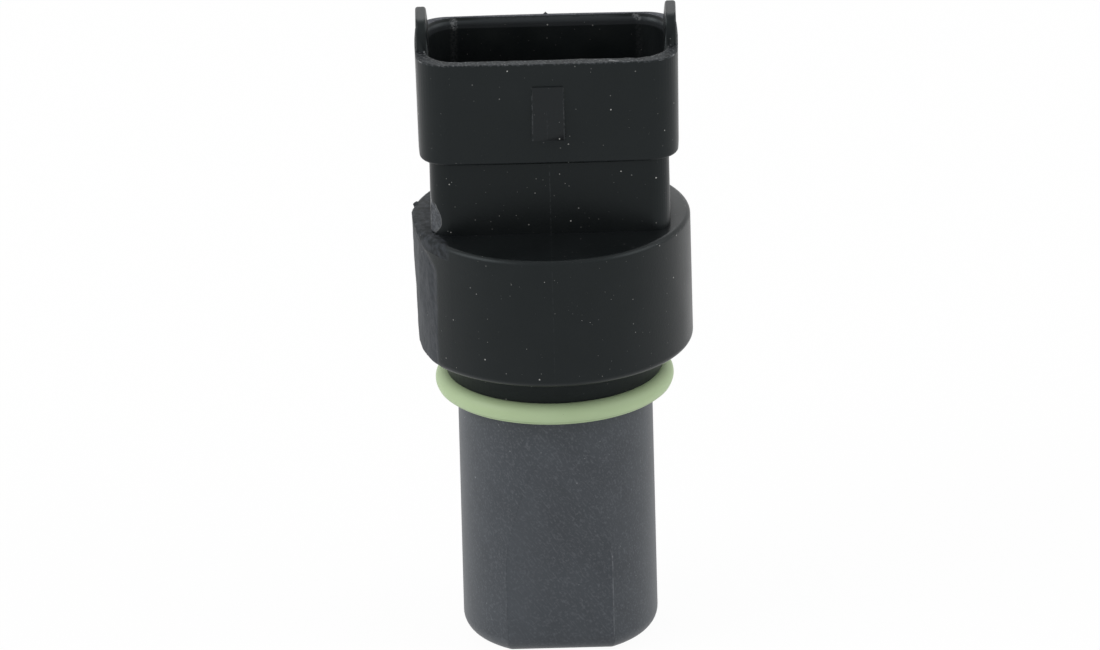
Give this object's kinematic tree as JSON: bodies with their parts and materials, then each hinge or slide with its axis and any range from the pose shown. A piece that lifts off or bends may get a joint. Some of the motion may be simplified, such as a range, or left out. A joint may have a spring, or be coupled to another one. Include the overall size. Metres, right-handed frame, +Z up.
{
  "type": "camshaft position sensor",
  "caption": "Engine camshaft position sensor: cylindrical probe with a sealing ring, round collar with a mounting lug, and an upright oval plug socket.",
  "frame": {"origin": "centre of the flat tip face of the probe", "axes": "+Z up the probe's axis to the plug socket, -Y the front with the catch, +Y the mounting lug"},
  "size_m": [0.0257, 0.0444, 0.0611],
  "materials": {
    "black_moulding": "glass-filled black plastic with a fine moulded grain, a rough trimmed gate and light dust",
    "grey_moulding": "dark grey plastic, matte, with fine slanting scuffs",
    "green_rubber": "pale green fluorocarbon rubber, satin, with a fine moulding line",
    "bush_steel": "turned steel, zinc plated",
    "tinned_brass": "stamped brass strip, tin plated",
    "carrier_plastic": "black moulded insert",
    "chip_epoxy": "matte black moulded package",
    "lead_metal": "tin-plated copper alloy lead",
    "magnet_metal": "nickel-plated magnet",
    "capacitor_body": "tan ceramic block with tinned ends",
    "potting_resin": "cured black resin"
  },
  "bodies": {
    "root": {"housing": "black_moulding", "probe_cap": "grey_moulding", "o_ring": "green_rubber", "mounting_bush": "bush_steel", "terminal_supply": "tinned_brass", "terminal_signal": "tinned_brass", "terminal_ground": "tinned_brass", "element_carrier": "carrier_plastic", "hall_chip": "chip_epoxy", "hall_lead_supply": "lead_metal", "hall_lead_signal": "lead_metal", "hall_lead_ground": "lead_metal", "bias_magnet": "magnet_metal", "flux_plate": "bush_steel", "supply_capacitor": "capacitor_body", "signal_capacitor": "capacitor_body", "potting_seal": "potting_resin"}
  },
  "joints": []
}
